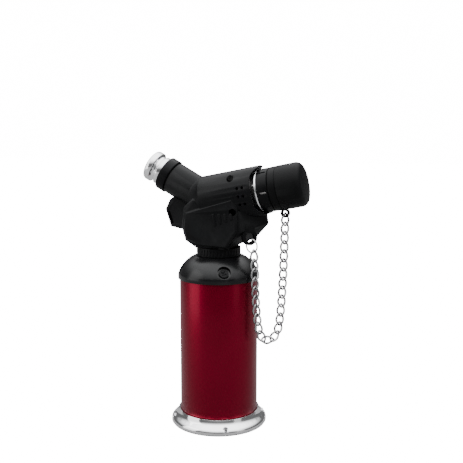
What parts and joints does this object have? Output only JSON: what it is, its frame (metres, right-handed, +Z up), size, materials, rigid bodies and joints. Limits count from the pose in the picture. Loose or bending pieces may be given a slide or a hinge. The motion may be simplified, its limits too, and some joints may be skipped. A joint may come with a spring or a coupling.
{
  "type": "butane torch",
  "caption": "Hand-held butane micro torch with a candy-red tank, flared chrome base, black pistol-shaped head, chrome push igniter and a chained nozzle cap.",
  "frame": {"origin": "centre of the base ring's underside, on the tank's axis", "axes": "+Z up along the tank's axis, +X the way the nozzle points, +Y the torch's left side"},
  "size_m": [0.0872, 0.0496, 0.1402],
  "materials": {
    "tank_red": "candy metallic",
    "head_black": "satin",
    "chrome": "polished",
    "guard_steel": "satin",
    "screw_steel": "satin",
    "spring_steel": "bright",
    "brass": "turned",
    "inner_alloy": "satin",
    "inner_plastic": "matt",
    "clear_plastic": "gloss",
    "seal_rubber": "matt",
    "ceramic": "glazed",
    "hose_plastic": "satin",
    "lead_rubber": "matt"
  },
  "bodies": {
    "torch": {"base_ring": "chrome", "base_screws": "screw_steel", "burner_plate": "brass", "button_collar": "head_black", "chain_links": "chrome", "chain_ring": "chrome", "clamp_ring": "inner_alloy", "dip_tube": "clear_plastic", "fill_valve_body": "brass", "fill_valve_seal": "seal_rubber", "fill_valve_spring": "spring_steel", "flame_holder": "guard_steel", "flame_tube": "guard_steel", "floor_gasket": "seal_rubber", "fuel_reservoir": "inner_alloy", "gas_hose": "hose_plastic", "gas_jet": "brass", "gland_nut": "brass", "head_shell_left": "head_black", "head_shell_right": "head_black", "insulator": "ceramic", "lever_pin": "screw_steel", "mixing_tube": "brass", "neck_nut": "brass", "nozzle_guard": "guard_steel", "nozzle_ring": "chrome", "piezo_core": "inner_plastic", "piezo_spring": "spring_steel", "shell_screws": "screw_steel", "shoulder_cap": "head_black", "shoulder_screws": "screw_steel", "spark_electrode": "guard_steel", "spark_lead": "lead_rubber", "tank_floor": "inner_plastic", "tank_sleeve": "tank_red", "valve_housing": "brass", "valve_seat": "seal_rubber", "valve_spring": "spring_steel"},
    "button": {"ignition_button": "chrome", "piezo_carriage": "inner_plastic"},
    "lever": {"valve_lever": "guard_steel"},
    "valve": {"valve_stem": "brass"},
    "flame_ring": {"flame_ring": "head_black"},
    "air_collar": {"air_collar": "head_black"},
    "cap": {"nozzle_cap": "head_black"},
    "fill_stem": {"fill_valve_stem": "brass"}
  },
  "joints": [
    {"name": "ignition_press", "type": "slide", "parent": "torch", "child": "button", "axis": [0.8746, 0, -0.4848], "range_m": [0, 0.004], "stiffness_N_per_m": 1500, "springref_m": -0.001, "deforming": ["piezo_spring"]},
    {"name": "lever_swing", "type": "hinge", "parent": "torch", "child": "lever", "pos_m": [0.006, 0, 0.1004], "axis": [0, 1, 0], "range_deg": [-0.1, 8.1]},
    {"name": "valve_lift", "type": "slide", "parent": "torch", "child": "valve", "axis": [0, 0, 1], "range_m": [-0.00001, 0.00086], "deforming": ["valve_spring", "gas_hose"]},
    {"name": "flame_adjust", "type": "hinge", "parent": "torch", "child": "flame_ring", "pos_m": [0, 0, 0.09015], "axis": [0, 0, 1], "range_deg": [-60, 60]},
    {"name": "air_adjust", "type": "hinge", "parent": "torch", "child": "air_collar", "pos_m": [0.02616, 0, 0.12182], "axis": [0.9799, 0, 0.1994], "range_deg": [0, 30]},
    {"name": "cap_pull", "type": "slide", "parent": "torch", "child": "cap", "axis": [0.9799, 0, 0.1994], "range_m": [0, 0.022], "deforming": ["chain_links"]},
    {"name": "fill_stem_push", "type": "slide", "parent": "torch", "child": "fill_stem", "axis": [0, 0, 1], "range_m": [0, 0.0012], "stiffness_N_per_m": 800, "springref_m": -0.0005, "deforming": ["fill_valve_spring"]}
  ],
  "couplings": [
    {"joint": "lever_swing", "follows": "ignition_press", "rad_per_m": 34.907},
    {"joint": "valve_lift", "follows": "ignition_press", "ratio": 0.21}
  ]
}
